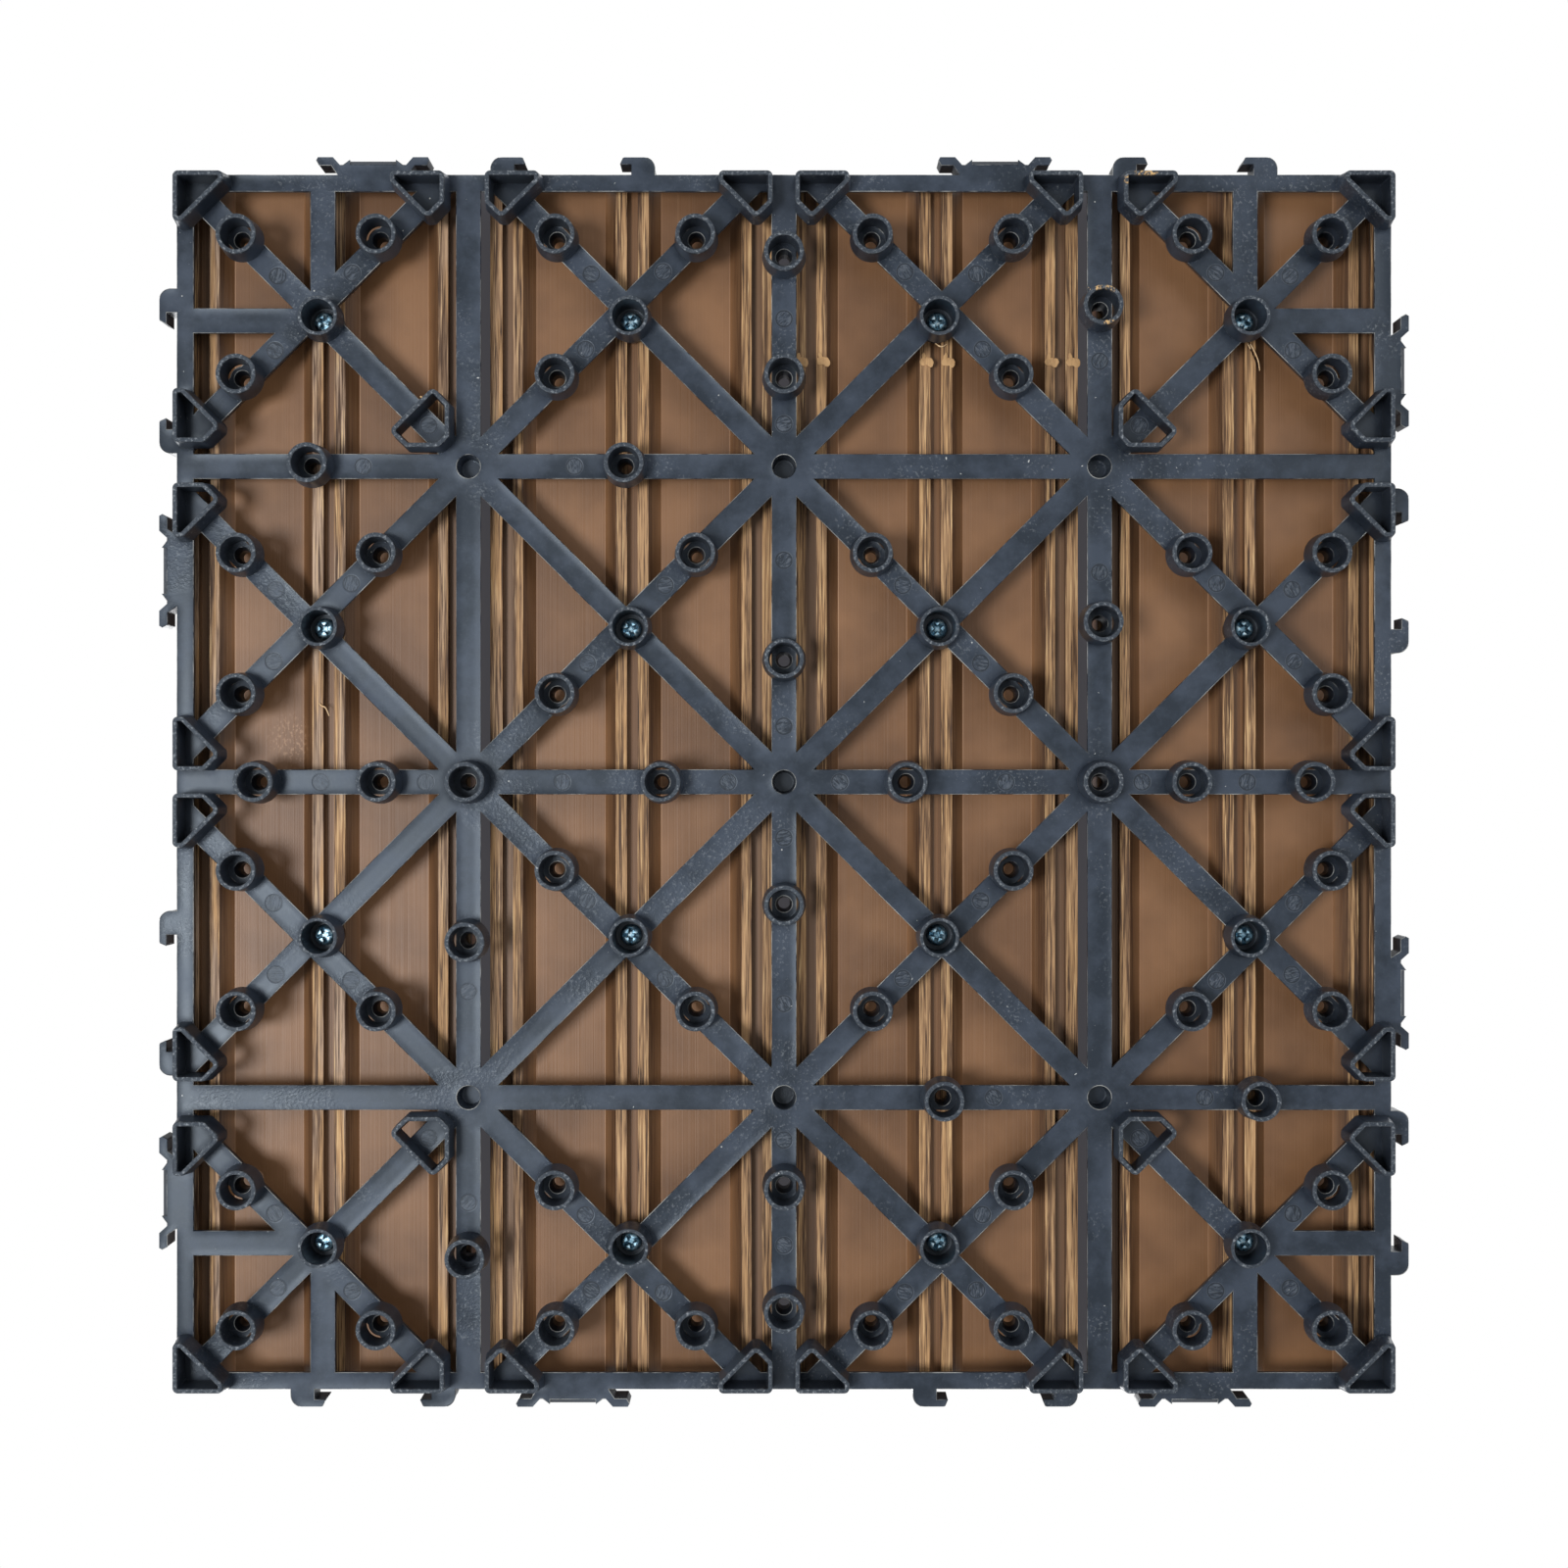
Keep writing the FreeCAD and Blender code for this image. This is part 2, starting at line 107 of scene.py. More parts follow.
def vector_calc(tree, operation, first, second=(0.0, 0.0, 0.0)):
    """A Vector Math node's vector."""
    return add(tree, "VectorMath", {0: first, 1: second}, operation=operation).outputs["Vector"]


def measured(tree, operation, first, second=(0.0, 0.0, 0.0)):
    """A Vector Math node's number: a distance, a length or a dot product."""
    return add(tree, "VectorMath", {0: first, 1: second}, operation=operation).outputs["Value"]


def stretched(tree, place, scale):
    """The place scaled on its own along X, Y and Z."""
    return add(tree, "Mapping", {"Vector": place, "Scale": scale}).outputs[0]


def remap(tree, value, low, high, to_low=0.0, to_high=1.0):
    """The value stretched from one range to another, and held inside it."""
    inputs = {0: value, 1: low, 2: high, 3: to_low, 4: to_high}
    return add(tree, "MapRange", inputs, clamp=True).outputs[0]


def mixed(tree, share, first, second):
    """Two colours mixed."""
    return add(tree, "Mix", {0: share, 6: first, 7: second}, data_type="RGBA").outputs[2]


def noise(tree, place, scale, detail=3.0, roughness=0.5, distortion=0.0):
    """Soft noise over the place, 0 to 1."""
    inputs = {"Vector": place, "Scale": scale, "Detail": detail, "Roughness": roughness}
    return add(tree, "TexNoise", {**inputs, "Distortion": distortion}).outputs[0]


def open_share(tree, reach):
    """How open a place is to its surroundings within reach: 1 out on a face, less in a hollow."""
    return add(tree, "AmbientOcclusion", {"Distance": reach}, samples=4, only_local=True).outputs["AO"]


def start_material(name):
    """A new material, its tree, its shader and its Object coordinates."""
    material = bpy.data.materials.new(name)
    material.use_nodes = True
    tree = material.node_tree
    place = add(tree, "TexCoord").outputs["Object"]
    return material, tree, tree.nodes["Principled BSDF"], place


def paint(tree, shader, colour, roughness):
    """The colour and the roughness led into the shader."""
    tree.links.new(colour, shader.inputs["Base Color"])
    tree.links.new(roughness, shader.inputs["Roughness"])


def emboss(tree, shader, height, strength, depth, **normal):
    """A fine relief, over the surface's own normal or a given Normal."""
    inputs = {"Height": height, "Strength": strength, "Distance": depth, **normal}
    tree.links.new(add(tree, "Bump", inputs).outputs[0], shader.inputs["Normal"])


def start_group(name, inputs, outputs):
    """A node group that turns a place and numbers into numbers: its tree, its inputs and its results."""
    tree = bpy.data.node_groups.new(name, "ShaderNodeTree")
    tree.interface.new_socket("Place", in_out="INPUT", socket_type="NodeSocketVector")
    for socket in inputs:
        tree.interface.new_socket(socket, in_out="INPUT", socket_type="NodeSocketFloat")
    for socket in outputs:
        tree.interface.new_socket(socket, in_out="OUTPUT", socket_type="NodeSocketFloat")
    return tree, tree.nodes.new("NodeGroupInput").outputs, tree.nodes.new("NodeGroupOutput").inputs


def use_group(tree, group, inputs):
    """A group placed in a material, with its own values."""
    return add(tree, "Group", inputs, node_tree=group).outputs


def make_mottle_group():
    """Soft clouds, with patches where the mould's pebbled face still prints as light and dark flecks."""
    tree, given, result = start_group("mould mottle", ("Clouds", "Pebbles"), ("Tone", "Fleck", "Height"))
    clouds = noise(tree, given["Place"], given["Clouds"], 5.0, 0.62)
    pebble = noise(tree, given["Place"], given["Pebbles"], 2.0, 0.6)
    patches = noise(tree, given["Place"], calc(tree, "MULTIPLY", given["Clouds"], 0.55), 1.0)
    patches = remap(tree, patches, 0.53, 0.6, 0.1, 1.0)
    fleck = calc(tree, "MULTIPLY", remap(tree, pebble, 0.57, 0.69), patches)
    tree.links.new(clouds, result["Tone"])
    tree.links.new(fleck, result["Fleck"])
    tree.links.new(calc(tree, "MULTIPLY", pebble, patches), result["Height"])
    return tree


def make_dust_group():
    """Scattered pin-prick specks: the centres of a few of many cells."""
    tree, given, result = start_group("dust specks", ("Cells", "Size", "Share"), ("Mask",))
    cells = add(tree, "TexVoronoi", {"Vector": given["Place"], "Scale": given["Cells"]})
    near = calc(tree, "LESS_THAN", cells.outputs["Distance"], given["Size"])
    draw = add(tree, "SeparateColor", {0: cells.outputs["Color"]}).outputs[0]
    chosen = calc(tree, "LESS_THAN", draw, given["Share"])
    tree.links.new(calc(tree, "MULTIPLY", near, chosen), result["Mask"])
    return tree


mottle = make_mottle_group()
dust = make_dust_group()


def painted_shade_share(tree, place, height):
    """Painted shade: darker on walls up to the slats, in bores and in feet, where little light gets in, and
    hardly in the sockets where the side ribs cross."""
    hollow = remap(tree, open_share(tree, hollow_reach), 0.6, 0.32, 0.0, 0.85)
    shaded = calc(tree, "MAXIMUM", remap(tree, height, face_z + wall_shade_rise, wall_top_z), hollow)
    quarter = vector_calc(tree, "MULTIPLY", vector_calc(tree, "ABSOLUTE", place), (1.0, 1.0, 0.0))
    from_crossing = measured(tree, "DISTANCE", quarter, (rib_line, rib_line, 0.0))
    in_socket = calc(tree, "LESS_THAN", from_crossing, socket_reach)
    return calc(tree, "MULTIPLY", shaded, calc(tree, "MULTIPLY_ADD", in_socket, -0.8, 1.0))


def rim_colours(tree, place, grazes):
    """The rims of feet, pegs and bosses: rubbed rough, with sawdust pressed into some of them."""
    colour = mixed(tree, remap(tree, grazes, 0.3, 0.55), linear(plastic_dark), linear(plastic_rim))
    colour = mixed(tree, remap(tree, grazes, 0.54, 0.66), colour, linear(plastic_chip))
    crumbs = remap(tree, noise(tree, place, 1500.0, 2.0), 0.48, 0.56)
    for heap, reach in rim_heaps:
        near = remap(tree, measured(tree, "DISTANCE", place, heap), reach, 0.6 * reach)
        colour = mixed(tree, calc(tree, "MULTIPLY", near, crumbs), colour, linear(rim_sawdust))
    return colour


def light_edge_share(tree, place, height, flat, eased, parting):
    """Where edges are painted lighter: in places, below the tops of the walls and off the parting plane."""
    facing = measured(tree, "DOT_PRODUCT", eased, flat)
    edge = calc(tree, "MULTIPLY", remap(tree, facing, 0.9, 0.76), calc(tree, "SUBTRACT", 1.0, parting))
    low_edge = calc(tree, "MULTIPLY", edge, remap(tree, height, wall_top_z, face_z + light_edge_rise))
    broken = remap(tree, noise(tree, place, 260.0, 5.0, 0.65), 0.45, 0.62)
    return calc(tree, "MULTIPLY", low_edge, calc(tree, "MULTIPLY_ADD", broken, 0.75, 0.15))


def cooled_normal(tree, flat, eased, parting):
    """The parting face has sunk a little between its edges as it cooled, and every other edge is eased."""
    amount = remap(tree, parting, 0.0, 1.0, -1.0, sink_tilt)
    off = vector_calc(tree, "SUBTRACT", flat, eased)
    sunk = add(tree, "VectorMath", {0: off, 3: amount}, operation="SCALE").outputs[0]
    return vector_calc(tree, "NORMALIZE", vector_calc(tree, "ADD", flat, sunk))


def make_grid_plastic():
    material, tree, shader, place = start_material("grid plastic")
    height = add(tree, "SeparateXYZ", {0: place}).outputs[2]
    rim = calc(tree, "LESS_THAN", height, rim_z)
    grazes = noise(tree, place, 1300.0, 4.0, 0.72)
    parting = calc(tree, "COMPARE", height, face_z, parting_band)
    radius = remap(tree, parting, 0.0, 1.0, edge_radius, sink_radius)
    eased = add(tree, "Bevel", {"Radius": radius}, samples=5).outputs[0]
    flat = add(tree, "NewGeometry").outputs["Normal"]
    body = use_group(tree, mottle, {"Place": place, "Clouds": 85.0, "Pebbles": 1400.0})
    specks = use_group(tree, dust, {"Place": place, "Cells": 150.0, "Size": 0.03, "Share": 0.5})["Mask"]
    colour = mixed(tree, remap(tree, body["Tone"], 0.4, 0.62), linear(plastic_dark), linear(plastic_light))
    colour = mixed(tree, calc(tree, "MULTIPLY", body["Fleck"], 0.3), colour, linear(plastic_chip))
    # painted shade on the walls and in the hollows
    colour = mixed(tree, painted_shade_share(tree, place, height), colour, linear(shade_and_gouge_dark))
    colour = mixed(tree, rim, colour, rim_colours(tree, place, grazes))
    colour = mixed(tree, light_edge_share(tree, place, height, flat, eased, parting), colour, linear(plastic_edge))
    colour = mixed(tree, calc(tree, "MULTIPLY", specks, 0.7), colour, linear(dust_white))
    sheen = remap(tree, body["Tone"], 0.3, 0.7, 0.32, 0.44)
    paint(tree, shader, colour, calc(tree, "MAXIMUM", sheen, calc(tree, "MULTIPLY", rim, 0.6)))
    relief = calc(tree, "MAXIMUM", body["Height"], calc(tree, "MULTIPLY", rim, grazes))
    emboss(tree, shader, relief, 0.5, 0.00015, Normal=cooled_normal(tree, flat, eased, parting))
    shader.inputs["Specular IOR Level"].default_value = plastic_gloss
    shader.inputs["Specular Tint"].default_value = linear(plastic_sheen)
    return material


def give_material(piece, material):
    piece.data.materials.clear()
    piece.data.materials.append(material)


give_material(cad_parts["base_grid"], make_grid_plastic())


# Parting flash
# A hair of plastic squeezed out where the two halves of the mould met. It runs along every free edge of the
# grid's down faces, and a broken bright line is painted on it as its highlight.

flash_radius = 0.00009
box_margin = 0.00015
same_level = 0.00001
same_place = 0.000001
facing_down = -0.99
flash_highlight_grey = (176, 178, 176)


def make_flash_highlight():
    material, tree, shader, place = start_material("flash highlight")
    broken = remap(tree, noise(tree, place, 120.0, 4.0, 0.7), 0.42, 0.6)
    # painted highlight: pale grey in broken stretches, for the light that the hair catches
    colour = mixed(tree, broken, linear(plastic_dark), linear(flash_highlight_grey))
    paint(tree, shader, colour, remap(tree, broken, 0.0, 1.0, 0.4, 0.25))
    return material


def is_free_edge(edge):
    """True where a down face at the parting plane ends and a wall goes up from it, inside the tile's box."""
    if len(edge.link_faces) != 2:
        return False
    if max(max(abs(v.co.x), abs(v.co.y)) for v in edge.verts) > cad_high[0] - box_margin:
        return False
    if any(abs(v.co.z - face_z) > same_level for v in edge.verts):
        return False
    down = [f for f in edge.link_faces if f.normal.z < facing_down]
    walls = [f for f in edge.link_faces if f.calc_center_median().z > face_z + same_level]
    return len(down) == 1 and len(walls) == 1


def model_flash():
    """The free edges taken from a merged copy of the grid, each chain drawn out as a thread."""
    bpy.ops.object.select_all(action="DESELECT")
    flash = bpy.data.objects.new("parting_flash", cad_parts["base_grid"].data.copy())
    bpy.context.scene.collection.objects.link(flash)
    bpy.context.view_layer.objects.active = flash
    flash.select_set(True)
    bpy.ops.object.mode_set(mode="EDIT")
    bpy.ops.mesh.select_mode(type="EDGE")
    bpy.ops.mesh.select_all(action="SELECT")
    bpy.ops.mesh.remove_doubles(threshold=same_place)
    edit = bmesh.from_edit_mesh(flash.data)
    free = [is_free_edge(edge) for edge in edit.edges]
    bpy.ops.mesh.delete(type="ONLY_FACE")
    edit = bmesh.from_edit_mesh(flash.data)
    for edge, kept in zip(edit.edges, free):
        edge.select_set(not kept)
    bpy.ops.mesh.delete(type="EDGE")
    bpy.ops.object.mode_set(mode="OBJECT")
    bpy.ops.object.convert(target="CURVE")
    flash = bpy.context.object
    flash.data.bevel_depth = flash_radius
    flash.data.bevel_resolution = 0
    flash.data.use_fill_caps = True
    bpy.ops.object.convert(target="MESH")
    return bpy.context.object


parting_flash = model_flash()
give_material(parting_flash, make_flash_highlight())
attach(parting_flash, "root")


# Ejector marks
# Round pads that the mould's ejector pins leave on the ribs and on the floors of the inner feet: a raised
# ring, a dark band inside it that is the painted shade of a groove, and a scuffed face inside, in the grid's
# own plastic.

mark_radius = 0.0023
mark_ring = 0.00024
mark_proud = 0.00005
mark_face = 0.00001
mark_corners = 28
slat_pitch = 0.076
corner_diagonal = 0.2325
boss_to_mark = 0.56
peg_lines = ((0.02165, 0.056), (0.09965, 0.1338))
middle_rib_marks = (0.0138, 0.0548, 0.0885, 0.1145)
side_rib_marks = (0.0518, 0.104)
inner_foot_mark = (0.0878, 0.0881)
signs = (-1, 1)
chance = random.Random(11)


def make_scuffed_plastic():
    """A dark band inside the ring, painted as the shade of a groove, and a few scratchy strokes across it,
    on each mark's own UV map.
    """
    material, tree, shader, place = start_material("scuffed plastic")
    flat = vector_calc(tree, "SUBTRACT", add(tree, "TexCoord").outputs["UV"], (0.5, 0.5, 0.0))
    out = calc(tree, "MULTIPLY", measured(tree, "LENGTH", flat), 2.0)
    # each mark has its own strokes, drawn out along one axis
    across, along, _ = add(tree, "SeparateXYZ", {0: flat}).outputs
    x, y, _ = add(tree, "SeparateXYZ", {0: place}).outputs
    seed = calc(tree, "MULTIPLY_ADD", x, 90.0, calc(tree, "MULTIPLY", y, 130.0))
    drawn = {0: calc(tree, "MULTIPLY", across, 9.0), 1: calc(tree, "MULTIPLY", along, 1.8), 2: seed}
    strokes = noise(tree, add(tree, "CombineXYZ", drawn).outputs[0], 1.3, 4.0, 0.65, 0.9)
    inside = calc(tree, "LESS_THAN", out, 0.8)
    scuff = calc(tree, "MULTIPLY", remap(tree, strokes, 0.5, 0.57), inside)
    gouge = calc(tree, "MULTIPLY", remap(tree, strokes, 0.47, 0.42), inside)
    # the groove is not modelled: this dark band is its painted shade
    groove = calc(tree, "MULTIPLY", remap(tree, out, 0.76, 0.82), remap(tree, out, 0.93, 0.89))
    ring = remap(tree, out, 0.92, 0.96)
    body = use_group(tree, mottle, {"Place": place, "Clouds": 300.0, "Pebbles": 2200.0})
    colour = mixed(tree, remap(tree, body["Tone"], 0.35, 0.65), linear(plastic_dark), linear(plastic_light))
    colour = mixed(tree, calc(tree, "MULTIPLY", scuff, 0.35), colour, linear(plastic_edge))
    colour = mixed(tree, calc(tree, "MULTIPLY", gouge, 0.9), colour, linear(shade_and_gouge_dark))
    colour = mixed(tree, calc(tree, "MULTIPLY", groove, 0.9), colour, linear(shade_and_gouge_dark))
    colour = mixed(tree, calc(tree, "MULTIPLY", ring, 0.15), colour, linear(plastic_edge))
    paint(tree, shader, colour, remap(tree, scuff, 0.0, 1.0, 0.4, 0.5))
    emboss(tree, shader, strokes, 0.6, 0.0001)
    shader.inputs["Specular IOR Level"].default_value = plastic_gloss
    shader.inputs["Specular Tint"].default_value = linear(plastic_sheen)
    return material


def on_diagonal(x, y):
    """The place moved squarely onto the middle line of the diagonal rib nearest to it."""
    down = min((abs(x - y - offset), x - y - offset) for offset in (-rib_line, 0.0, rib_line))[1]
    up = min((abs(x + y - offset), x + y - offset) for offset in (rib_line, 2 * rib_line, corner_diagonal))[1]
    if abs(down) < abs(up):
        return x - down / 2, y + down / 2
    return x - up / 2, y - up / 2


def mark_places():
    """Marks on the diagonals between boss and peg, along the middle and side ribs, and in the inner feet."""
    bosses = (slat_pitch / 2, slat_pitch * 3 / 2)
    places = []
    for far_x, far_y, out_x, out_y in product((0, 1), repeat=4):
        inner_cell_outer_corner = out_x and out_y and not far_x and not far_y
        if not (out_x or out_y) or inner_cell_outer_corner:
            continue
        x, y = on_diagonal(
            bosses[far_x] + boss_to_mark * (peg_lines[far_x][out_x] - bosses[far_x]),
            bosses[far_y] + boss_to_mark * (peg_lines[far_y][out_y] - bosses[far_y]))
        places.extend((sx * x, sy * y) for sx, sy in product(signs, repeat=2))
    for distance, sign in product(middle_rib_marks, signs):
        places.extend([(sign * distance, 0.0), (0.0, sign * distance)])
    for distance in side_rib_marks:
        places.extend([(-rib_line, distance), (rib_line, -distance)])
        places.extend([(distance, rib_line), (-distance, -rib_line)])
    foot_x, foot_y = inner_foot_mark
    places.extend((sx * foot_x, sy * foot_y) for sx, sy in product(signs, repeat=2))
    return places


def mark_moves():
    """Each mark at its place, turned by chance."""
    for x, y in mark_places():
        yield Matrix.Translation((x, y, 0)) @ Matrix.Rotation(chance.uniform(0, math.pi), 4, "Z")


def model_disc(corners, radius, z, proud, ring, face_shift):
    """A thin disc that stands down from its level, its face inset by a ring and then shifted up or down."""
    bpy.ops.object.select_all(action="DESELECT")
    bpy.ops.mesh.primitive_circle_add(vertices=corners, radius=radius, fill_type="NGON", location=(0, 0, z))
    disc = bpy.context.object
    bpy.ops.object.mode_set(mode="EDIT")
    bpy.ops.mesh.select_all(action="SELECT")
    bpy.ops.mesh.extrude_region_move(TRANSFORM_OT_translate={"value": (0, 0, -proud)})
    bpy.ops.mesh.inset(thickness=ring)
    bpy.ops.transform.translate(value=(0, 0, face_shift))
    bpy.ops.mesh.select_all(action="SELECT")
    bpy.ops.mesh.normals_make_consistent(inside=False)
    bpy.ops.object.mode_set(mode="OBJECT")
    bpy.ops.object.transform_apply(location=True, rotation=True, scale=True)
    return disc


def model_mark():
    """One pad on the grid's down face, with a UV map that puts its middle at 0.5, 0.5."""
    mark = model_disc(mark_corners, mark_radius, face_z, mark_proud, mark_ring, mark_proud - mark_face)
    uv = mark.data.uv_layers.active or mark.data.uv_layers.new()
    for loop in mark.data.loops:
        corner = mark.data.vertices[loop.vertex_index].co / (2 * mark_radius)
        uv.data[loop.index].uv = (corner.x + 0.5, corner.y + 0.5)
    return mark


def spread(model, moves, name):
    """Copies of a model, each moved in its own mesh, joined to one piece; the model itself goes."""
    bpy.ops.object.select_all(action="DESELECT")
    copies = []
    for move in moves:
        copy = model.copy()
        copy.data = model.data.copy()
        copy.data.transform(move)
        bpy.context.scene.collection.objects.link(copy)
        copy.select_set(True)
        copies.append(copy)
    bpy.data.objects.remove(model)
    bpy.context.view_layer.objects.active = copies[0]
    bpy.ops.object.join()
    piece = bpy.context.object
    piece.name = name
    return piece


ejector_marks = spread(model_mark(), list(mark_moves()), "ejector_marks")
give_material(ejector_marks, make_scuffed_plastic())
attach(ejector_marks, "root")


# The slats
# Four boards extruded from brown wood-plastic composite. The die leaves ridges and grooves on the underside.
# The ridges' faces are planed to show the fibres, and the channels between them keep the die's smooth skin.

leg_dark = (84, 58, 37)
leg_gold = (192, 150, 104)
leg_sheen_grey = (190, 162, 138)
leg_glint = (224, 190, 140)
leg_gap = (50, 32, 21)
channel_brown = (136, 98, 66)
channel_deep = (109, 76, 49)
highlight_and_scratch_pale = (188, 150, 118)
groove_middle = (132, 95, 63)
groove_outer = (124, 94, 68)
slope_shade_and_streak_dark = (66, 43, 29)
slope_shade_brown = (112, 82, 56)
top_brown = (116, 82, 58)
top_dark = (84, 57, 40)
end_brown = (92, 64, 46)
ridge_z = 0.012
ridge_band = 0.00002
groove_z = 0.0142
groove_band = 0.00005
groove_half = 0.002
channel_z = 0.015
channel_inner = 0.0070
channel_outer = 0.024425
line_inset = 0.0001
line_half = 0.00013
slope_drop = 0.0001
slope_rise = 0.0006
top_rise = 0.0005
slat_end = 0.149
end_band = 0.00005
scuff_middle = (0.1235, 0.0105, 0.015)
scuff_reach = 0.0075
sheen_from = 0.05
sheen_to = 0.11


def make_streak_group():
    """Long fibres along Y, as a slow band and a fine thread laid over each other."""
    tree, given, result = start_group("fibre streaks", ("Across", "Along"), ("Value", "Thread"))
    scale = add(tree, "CombineXYZ", {0: given["Across"], 1: given["Along"], 2: given["Across"]}).outputs[0]
    place = vector_calc(tree, "MULTIPLY", given["Place"], scale)
    band = noise(tree, place, 1.0, 4.0, 0.6, 0.4)
    thread = noise(tree, place, 3.1, 3.0, 0.7, 0.2)
    value = calc(tree, "MULTIPLY_ADD", thread, 0.6, calc(tree, "MULTIPLY", band, 0.4))
    tree.links.new(value, result["Value"])
    tree.links.new(thread, result["Thread"])
    return tree


streaks = make_streak_group()


def from_slat_middle(tree, x):
    """How far a place is from the middle line of its slat, which is also its line of bosses."""
    turns = calc(tree, "FRACT", calc(tree, "MULTIPLY_ADD", x, 1 / slat_pitch, 10.0))
    return calc(tree, "MULTIPLY", calc(tree, "ABSOLUTE", calc(tree, "SUBTRACT", turns, 0.5)), slat_pitch)


def channel_colours(tree, place, from_middle, die_thread):
    """Channel floors: the die's smooth skin, with a thin pale line where a floor meets its slope, which is a
    painted highlight.
    """
    clouds = noise(tree, place, 45.0, 3.0)
    skin = mixed(tree, remap(tree, clouds, 0.35, 0.65), linear(channel_deep), linear(channel_brown))
    skin = mixed(tree, remap(tree, die_thread, 0.66, 0.74, 0.0, 0.25), skin, linear(leg_gold))
    inner_line = calc(tree, "COMPARE", from_middle, channel_inner + line_inset, line_half)
    outer_line = calc(tree, "COMPARE", from_middle, channel_outer - line_inset, line_half)
    broken = noise(tree, stretched(tree, place, (60.0, 9.0, 1.0)), 1.0, 3.0)
    broken = remap(tree, broken, 0.42, 0.6, 0.05, 0.5)
    line = calc(tree, "MULTIPLY", calc(tree, "MAXIMUM", inner_line, outer_line), broken)
    # the painted highlight along the floor's edges
    return mixed(tree, line, skin, linear(highlight_and_scratch_pale))


def scuffed_share(tree, place):
    """A patch of pale scratches on the floor of slat_4."""
    near = remap(tree, measured(tree, "DISTANCE", place, scuff_middle), scuff_reach, 0.5 * scuff_reach)
    scratches = noise(tree, stretched(tree, place, (1300.0, 900.0, 1.0)), 1.0, 3.0, 0.6)
    return calc(tree, "MULTIPLY", near, remap(tree, scratches, 0.53, 0.62, 0.0, 0.5))


def groove_colours(tree, from_middle, die_value):
    """Groove floors, the middle one paler."""
    middle = calc(tree, "LESS_THAN", from_middle, groove_half)
    colour = mixed(tree, middle, linear(groove_outer), linear(groove_middle))
    return mixed(tree, remap(tree, die_value, 0.42, 0.56, 0.5, 0.0), colour, linear(slope_shade_and_streak_dark))


def ridge_colours(tree, place, x, fibre):
    """Ridge faces, planed so that the fibres show: pale with dark gaps. A painted sheen greys them in patches,
    more towards slat_4.
    """
    # painted sheen, stronger towards slat_4
    painted_sheen = noise(tree, stretched(tree, place, (260.0, 26.0, 1.0)), 1.0, 2.0)
    to_side = remap(tree, x, sheen_from, sheen_to, 0.15, 1.0)
    painted_sheen = calc(tree, "MULTIPLY", remap(tree, painted_sheen, 0.44, 0.58), to_side)
    light = mixed(tree, painted_sheen, linear(leg_gold), linear(leg_sheen_grey))
    colour = mixed(tree, remap(tree, fibre["Value"], 0.43, 0.57), linear(leg_dark), light)
    colour = mixed(tree, remap(tree, fibre["Thread"], 0.42, 0.36, 0.0, 0.9), colour, linear(leg_gap))
    return mixed(tree, remap(tree, fibre["Thread"], 0.59, 0.66, 0.0, 0.8), colour, linear(leg_glint))


def make_slat_composite():
    material, tree, shader, place = start_material("slat composite")
    x, y, z = add(tree, "SeparateXYZ", {0: place}).outputs
    from_middle = from_slat_middle(tree, x)
    fibre = use_group(tree, streaks, {"Place": place, "Across": 780.0, "Along": 16.0})
    die_lines = use_group(tree, streaks, {"Place": place, "Across": 1300.0, "Along": 1.2})
    skin = channel_colours(tree, place, from_middle, die_lines["Thread"])
    skin = mixed(tree, scuffed_share(tree, place), skin, linear(highlight_and_scratch_pale))
    # painted shade: slopes and groove walls darker than the floors, darkest towards the ridges
    slope = mixed(tree, remap(tree, fibre["Value"], 0.4, 0.62), linear(slope_shade_and_streak_dark), linear(slope_shade_brown))
    colour = mixed(tree, remap(tree, z, channel_z - slope_drop, ridge_z + slope_rise), skin, slope)
    groove = calc(tree, "COMPARE", z, groove_z, groove_band)
    colour = mixed(tree, groove, colour, groove_colours(tree, from_middle, die_lines["Value"]))
    ridge = calc(tree, "LESS_THAN", z, ridge_z + ridge_band)
    colour = mixed(tree, ridge, colour, ridge_colours(tree, place, x, fibre))
    # the walking face is brushed and the ends are sawn
    top = calc(tree, "GREATER_THAN", z, channel_z + top_rise)
    brushed = mixed(tree, remap(tree, fibre["Value"], 0.4, 0.6), linear(top_dark), linear(top_brown))
    colour = mixed(tree, top, colour, brushed)
    sawn = calc(tree, "GREATER_THAN", calc(tree, "ABSOLUTE", y), slat_end - end_band)
    crumbs = noise(tree, stretched(tree, place, (900.0, 900.0, 2600.0)), 1.0, 3.0, 0.7)
    torn_share = calc(tree, "MULTIPLY", sawn, remap(tree, crumbs, 0.4, 0.6, 0.4, 1.0))
    colour = mixed(tree, torn_share, colour, linear(end_brown))
    rough = calc(tree, "MAXIMUM", ridge, top)
    paint(tree, shader, colour, remap(tree, rough, 0.0, 1.0, 0.42, 0.62))
    relief = mixed(tree, rough, die_lines["Value"], fibre["Value"])
    emboss(tree, shader, mixed(tree, sawn, relief, crumbs), 0.5, 0.0002)
    shader.inputs["Specular IOR Level"].default_value = 0.4
    return material


slat_composite = make_slat_composite()
for number in range(1, 5):
    give_material(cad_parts["slat_%d" % number], slat_composite)


# The screws
# Sixteen small pan-head screws of steel in blue-bright zinc plate, with a cross recess. Each is driven up
# into a slat from inside a boss, which hides all of it but the head.

zinc_white = (218, 236, 242)
zinc_blue = (156, 198, 220)
zinc_dark = (98, 132, 152)
recess_reach = 0.0012


